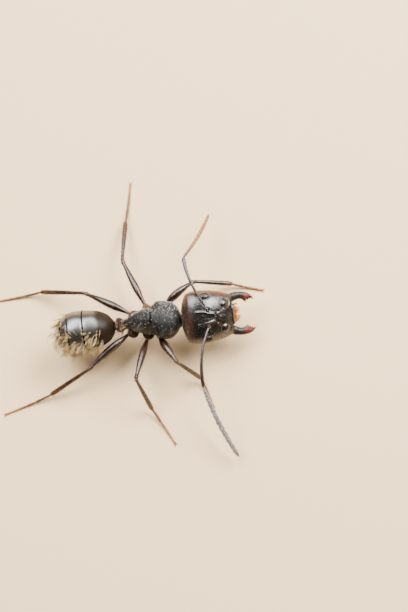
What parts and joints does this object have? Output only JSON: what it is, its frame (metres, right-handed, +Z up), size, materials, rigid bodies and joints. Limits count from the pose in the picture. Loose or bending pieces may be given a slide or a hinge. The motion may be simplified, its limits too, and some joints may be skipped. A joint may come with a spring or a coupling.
{
  "type": "carpenter ant model",
  "caption": "Still, life-size model of a medium worker carpenter ant in an alert stance: head low, jaws wide open, feelers swept out, six feet flat on the floor.",
  "frame": {"origin": "middle of the ant's bounding box in plan, on the floor that its feet stand on", "axes": "+X is the way the ant's trunk heads, +Y is its left side, +Z is up; the floor is Z = 0"},
  "size_m": [0.0126, 0.013, 0.0033],
  "materials": {
    "head_shell": "smooth black shell with red-brown cheeks",
    "eye": "fine-faceted black",
    "labrum": "translucent orange-brown",
    "mandible": "black base, dark red teeth",
    "scape": "smooth black-brown",
    "funiculus": "orange-brown with fine pale down",
    "trunk_shell": "dull black with fine silver down",
    "leg_shell": "glossy black to dark red-brown",
    "tarsus": "orange-brown, bristly",
    "gaster_shell": "satin black with pale plate edges and golden hair"
  },
  "bodies": {
    "root": {"head": "head_shell", "labrum": "labrum", "eye_left": "eye", "mandible_left": "mandible", "scape_left": "scape", "funiculus_left": "funiculus", "eye_right": "eye", "mandible_right": "mandible", "scape_right": "scape", "funiculus_right": "funiculus", "neck": "trunk_shell", "pronotum": "trunk_shell", "mesonotum": "trunk_shell", "propodeum": "trunk_shell", "petiole": "trunk_shell", "gaster_1": "gaster_shell", "gaster_2": "gaster_shell", "gaster_3": "gaster_shell", "gaster_4": "gaster_shell", "coxa_front_left": "trunk_shell", "femur_front_left": "leg_shell", "tibia_front_left": "leg_shell", "tarsus_front_left": "tarsus", "coxa_front_right": "trunk_shell", "femur_front_right": "leg_shell", "tibia_front_right": "leg_shell", "tarsus_front_right": "tarsus", "coxa_middle_left": "trunk_shell", "femur_middle_left": "leg_shell", "tibia_middle_left": "leg_shell", "tarsus_middle_left": "tarsus", "coxa_middle_right": "trunk_shell", "femur_middle_right": "leg_shell", "tibia_middle_right": "leg_shell", "tarsus_middle_right": "tarsus", "coxa_hind_left": "trunk_shell", "femur_hind_left": "leg_shell", "tibia_hind_left": "leg_shell", "tarsus_hind_left": "tarsus", "coxa_hind_right": "trunk_shell", "femur_hind_right": "leg_shell", "tibia_hind_right": "leg_shell", "tarsus_hind_right": "tarsus"}
  },
  "joints": []
}
